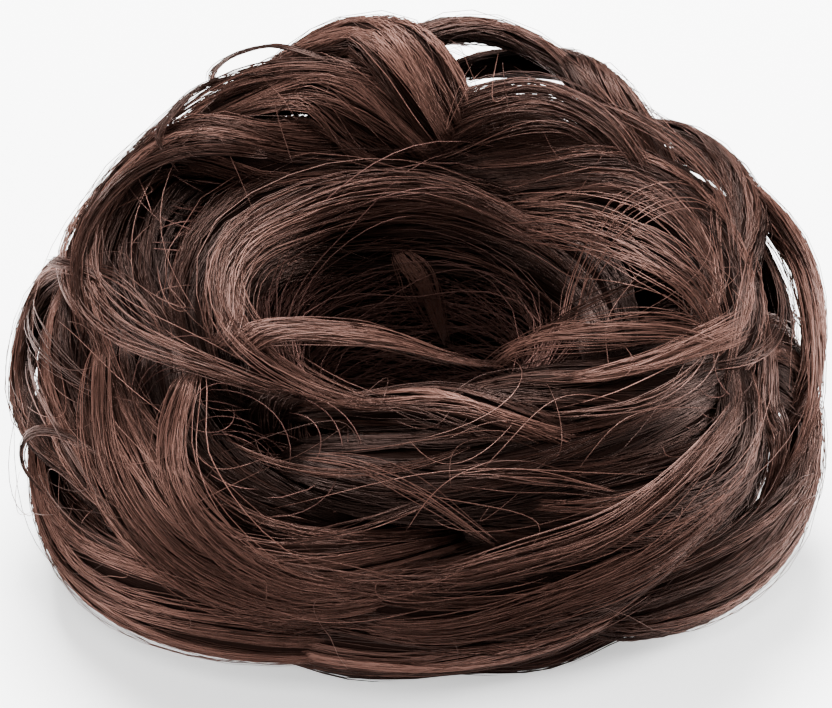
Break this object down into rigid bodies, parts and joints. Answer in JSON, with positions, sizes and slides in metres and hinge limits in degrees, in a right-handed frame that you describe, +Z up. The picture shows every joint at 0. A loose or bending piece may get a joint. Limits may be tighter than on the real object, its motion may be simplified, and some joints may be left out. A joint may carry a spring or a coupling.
{
  "type": "top knot hairpiece",
  "caption": "Messy bun hairpiece: a ring of looped wavy hair locks on an elastic band, with a central hole that goes over the wearer's own bun.",
  "frame": {"origin": "on the surface that the piece rests on, under the middle of its bounding box", "axes": "+Z up, +Y towards the tall back of the bun, -Y towards the viewer, +X to the viewer's right along its longest side"},
  "size_m": [0.1512, 0.126, 0.0845],
  "materials": {
    "hair": "dark chocolate brown synthetic fibre in wavy locks, soft gloss along the strands",
    "inner_hair": "the same fibre deep between the locks, nearly black brown, less gloss",
    "elastic": "matt braided covered elastic, nearly black"
  },
  "bodies": {
    "root": {"elastic_band": "elastic", "inner_hair": "inner_hair", "lock_crown_high": "hair", "lock_crown_wide": "hair", "lock_left_curl": "hair", "lock_back_high_loop": "hair", "lock_back_right_loop": "hair", "lock_right_loop_outer": "hair", "lock_right_loop_high": "hair", "lock_left_loop": "hair", "lock_front_cross": "hair", "lock_right_sweep": "hair", "lock_middle_arch": "hair", "lock_front_tongue": "hair", "lock_front_high": "hair", "lock_front_mid": "hair", "lock_left_bowl": "hair", "lock_left_side": "hair", "lock_front_low": "hair", "lock_rim_right": "hair", "lock_rim_front": "hair", "lock_rim_left": "hair", "lock_right_outer_side": "hair", "lock_left_curl_inner": "hair", "lock_left_bowl_inner": "hair", "lock_back_bowl": "hair", "lock_back_sweep_left": "hair", "lock_back_sweep_right": "hair", "lock_rim_back_left": "hair", "lock_rim_back_right": "hair"}
  },
  "joints": []
}
